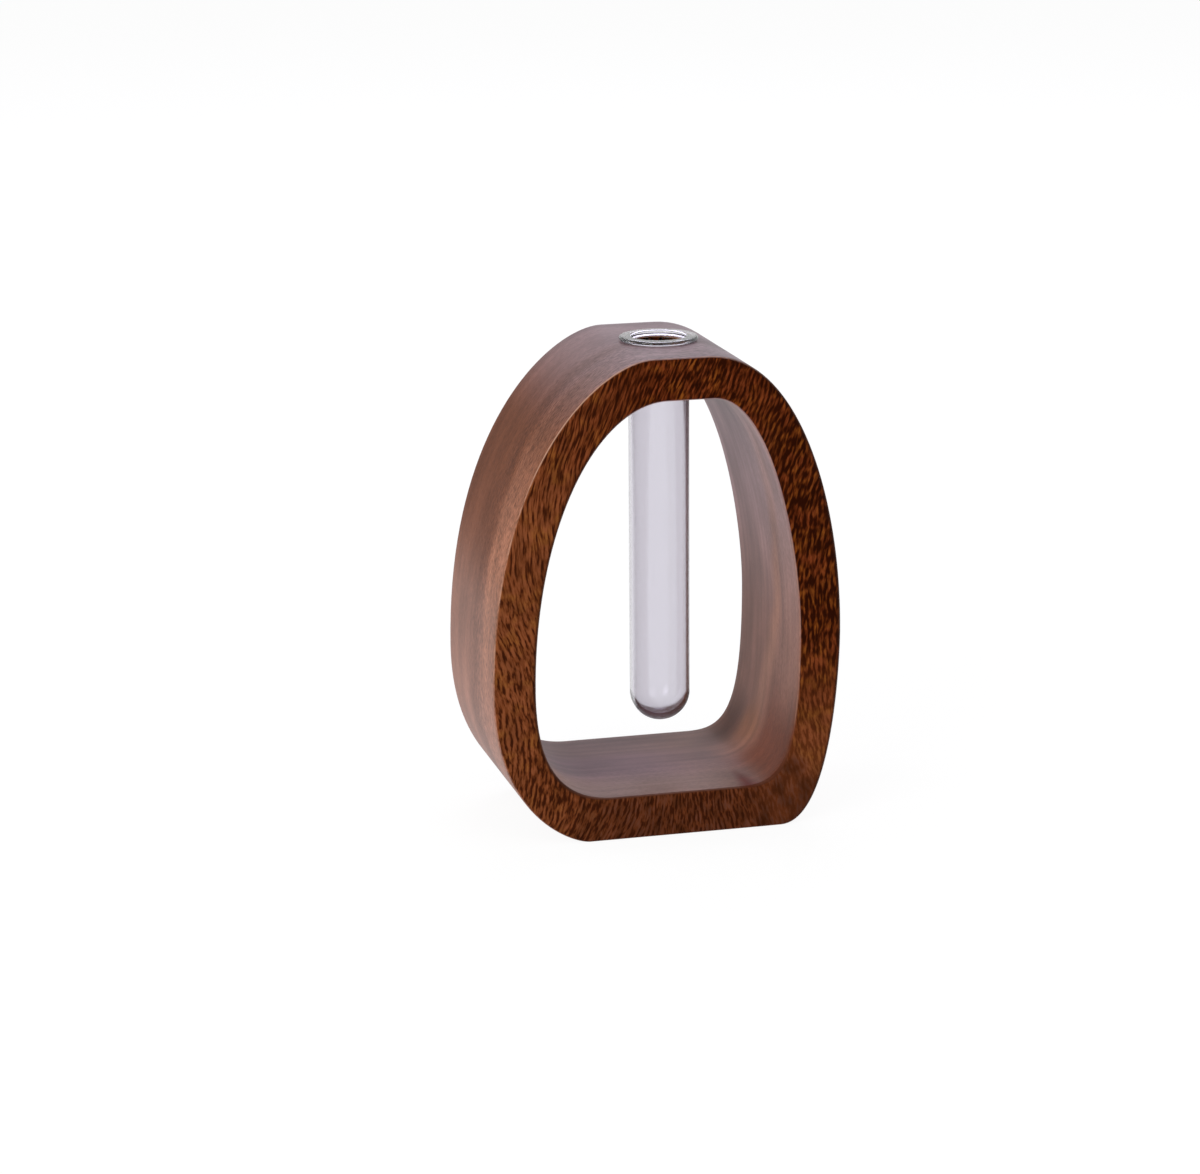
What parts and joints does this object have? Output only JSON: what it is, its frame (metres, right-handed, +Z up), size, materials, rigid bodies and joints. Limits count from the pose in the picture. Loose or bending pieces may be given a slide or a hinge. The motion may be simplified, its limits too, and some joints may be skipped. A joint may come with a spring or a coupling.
{
  "type": "bud vase",
  "caption": "Bud vase: a hoop-shaped block of flecked dark hardwood whose crown holds a removable glass test tube for a single stem.",
  "frame": {"origin": "on the table, under the middle of the hoop's width and depth", "axes": "+X to the right seen from the front, +Y to the back through the window, +Z up along the glass tube"},
  "size_m": [0.07, 0.04, 0.0959],
  "materials": {
    "oiled_hardwood": "satin oil and wax over a dark hardwood with fine near-black flecks",
    "clear_glass": "clear, fire-polished borosilicate"
  },
  "bodies": {
    "frame": {"wooden_frame": "oiled_hardwood"},
    "tube": {"glass_tube": "clear_glass"}
  },
  "joints": [
    {"name": "tube_lift", "type": "slide", "parent": "frame", "child": "tube", "axis": [0, 0, 1], "range_m": [0, 0.085]}
  ]
}
